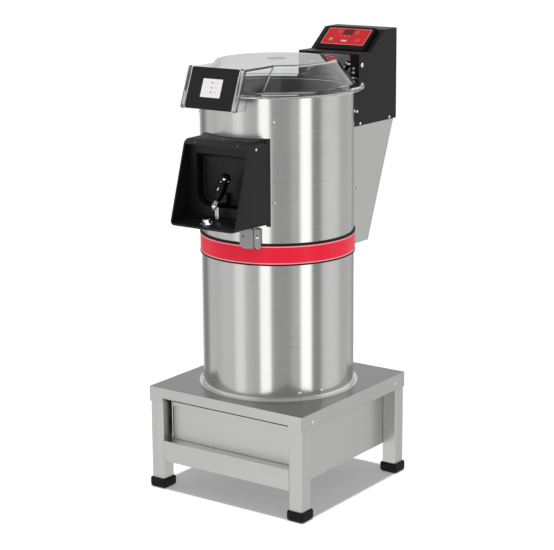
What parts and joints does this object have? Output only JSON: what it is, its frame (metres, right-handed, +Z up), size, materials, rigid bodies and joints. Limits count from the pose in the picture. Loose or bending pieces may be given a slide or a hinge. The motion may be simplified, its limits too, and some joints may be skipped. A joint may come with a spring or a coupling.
{
  "type": "electric potato peeler",
  "caption": "Floor-standing electric potato peeler: steel drum on a stand with a peel drawer, clear hinged lid, discharge chute with a lever door, rear control housing.",
  "frame": {"origin": "centre of the footprint's bounding box, on the floor under the feet", "axes": "+Z up, -Y the front with the discharge chute and the drawer, +X to the right of someone facing the front"},
  "size_m": [0.498, 0.752, 1.1896],
  "materials": {
    "stainless": "brushed stainless sheet with fine horizontal grain",
    "zinc_steel": "plain cut plate",
    "bright_metal": "bright plated and polished fasteners and shafts",
    "black_moulding": "black textured moulding",
    "black_gloss": "glossy black moulded grip and bezel",
    "black_rubber": "dull black rubber",
    "clear_moulding": "clear moulded plastic",
    "band_film": "red band with pale pinstripes and dark edges",
    "keypad_film": "red printed film",
    "dark_window": "dark red display window",
    "abrasive": "grey abrasive grit coating",
    "cast_metal": "rough casting",
    "motor_paint": "grey enamel",
    "yellow_metal": "plain turned metal",
    "board_green": "green laminate"
  },
  "bodies": {
    "stand": {"stand_top": "stainless", "legs": "stainless", "feet": "black_rubber", "front_rail": "stainless", "box_side_left": "stainless", "box_side_right": "stainless", "box_floor": "stainless", "stand_screws": "bright_metal", "lower_drum": "stainless", "drum_screws": "bright_metal", "joint_band": "band_film", "upper_drum": "stainless", "rim_seal": "black_rubber", "drum_clamp": "zinc_steel", "chamber_floor": "stainless", "bearing_housing": "cast_metal", "bearings": "bright_metal", "shaft_seal": "black_rubber", "motor_plate": "zinc_steel", "motor_body": "motor_paint", "drive_belt": "black_rubber", "abrasive_liner": "abrasive", "drain_pipe": "stainless", "water_inlet": "yellow_metal", "cable_gland": "black_moulding", "rear_duct": "stainless", "chute_hood": "black_moulding", "door_frame": "black_moulding", "chute_screws": "bright_metal", "door_keeper": "bright_metal", "door_hinge_pin": "bright_metal", "lid_hinge_rod": "bright_metal", "lid_switch": "bright_metal", "housing_shell": "black_moulding", "housing_front_plate": "stainless", "housing_screws": "bright_metal", "control_bezel": "black_gloss", "control_overlay": "keypad_film", "display_window": "dark_window", "control_board": "board_green"},
    "drawer": {"drawer_front": "stainless", "drawer_basket": "stainless"},
    "rotor": {"main_shaft": "bright_metal", "driven_pulley": "cast_metal", "abrasive_plate": "abrasive", "plate_nut": "bright_metal"},
    "motor_rotor": {"motor_shaft": "bright_metal", "motor_pulley": "cast_metal"},
    "door": {"door_panel": "black_moulding", "door_gasket": "black_rubber", "lever_bolt": "bright_metal"},
    "door_lever": {"lever_arm": "bright_metal", "lever_grip": "black_gloss"},
    "lid": {"lid_shell": "clear_moulding", "lid_front_plate": "black_moulding", "lid_hinge_arms": "bright_metal"},
    "start_button": {"start_key": "keypad_film"},
    "stop_button": {"stop_key": "keypad_film"},
    "minus_button": {"minus_key": "keypad_film"},
    "plus_button": {"plus_key": "keypad_film"}
  },
  "joints": [
    {"name": "lid_hinge", "type": "hinge", "parent": "stand", "child": "lid", "pos_m": [0, 0.2, 1.101], "axis": [-1, 0, 0], "range_deg": [0, 75]},
    {"name": "door_hinge", "type": "hinge", "parent": "stand", "child": "door", "pos_m": [0, -0.271, 0.912], "axis": [-1, 0, 0], "range_deg": [0, 60]},
    {"name": "door_lever_pivot", "type": "hinge", "parent": "door", "child": "door_lever", "pos_m": [-0.0017, -0.322, 0.793], "axis": [0, 1, 0], "range_deg": [-60, 35]},
    {"name": "drawer_slide", "type": "slide", "parent": "stand", "child": "drawer", "axis": [0, -1, 0], "range_m": [0, 0.34]},
    {"name": "plate_spin", "type": "hinge", "parent": "stand", "child": "rotor", "pos_m": [0, -0.054, 0.7], "axis": [0, 0, 1], "continuous": true},
    {"name": "motor_spin", "type": "hinge", "parent": "stand", "child": "motor_rotor", "pos_m": [0, 0.071, 0.6], "axis": [0, 0, 1], "continuous": true},
    {"name": "start_press", "type": "slide", "parent": "stand", "child": "start_button", "axis": [0, 0.6157, -0.788], "range_m": [0, 0.001], "stiffness_N_per_m": 300, "springref_m": -0.001},
    {"name": "stop_press", "type": "slide", "parent": "stand", "child": "stop_button", "axis": [0, 0.6157, -0.788], "range_m": [0, 0.001], "stiffness_N_per_m": 300, "springref_m": -0.001},
    {"name": "minus_press", "type": "slide", "parent": "stand", "child": "minus_button", "axis": [0, 0.6157, -0.788], "range_m": [0, 0.001], "stiffness_N_per_m": 300, "springref_m": -0.001},
    {"name": "plus_press", "type": "slide", "parent": "stand", "child": "plus_button", "axis": [0, 0.6157, -0.788], "range_m": [0, 0.001], "stiffness_N_per_m": 300, "springref_m": -0.001}
  ],
  "couplings": [
    {"joint": "motor_spin", "follows": "plate_spin", "ratio": 3.54}
  ]
}
